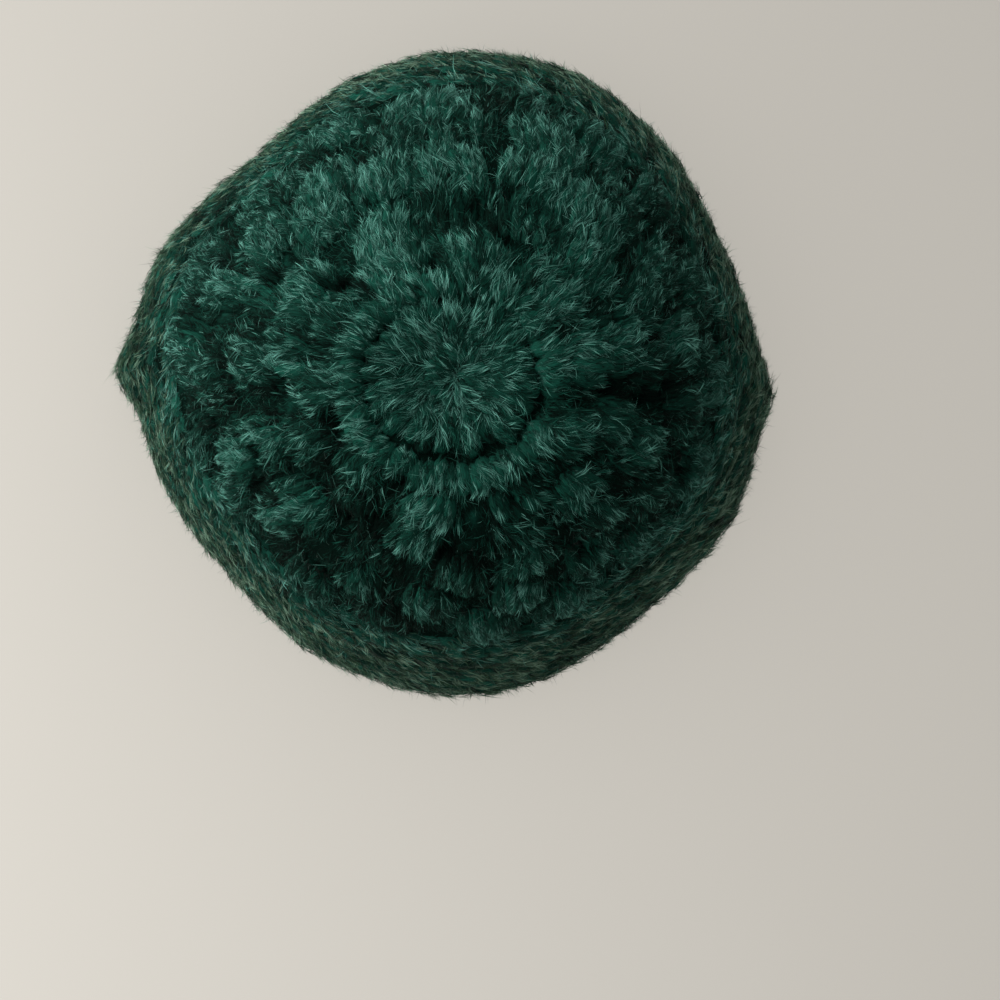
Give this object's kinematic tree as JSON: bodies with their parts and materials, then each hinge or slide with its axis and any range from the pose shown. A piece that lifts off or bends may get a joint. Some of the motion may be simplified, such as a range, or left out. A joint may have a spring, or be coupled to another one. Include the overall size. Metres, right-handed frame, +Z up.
{
  "type": "crochet beanie",
  "caption": "Chunky crocheted beanie with a padded starting disc, rounds of fanned shells and a ridged band, open below for the head.",
  "frame": {"origin": "on the floor, under the centre of the hat's box as it stands on its rim", "axes": "+Z up through the crown, -Y to the hat's front, where the crown leans, +X to its right as the front is seen"},
  "size_m": [0.2138, 0.2082, 0.127],
  "materials": {
    "yarn": "brushed fuzzy bottle-green yarn"
  },
  "bodies": {
    "root": {"crown": "yarn", "band": "yarn"}
  },
  "joints": []
}
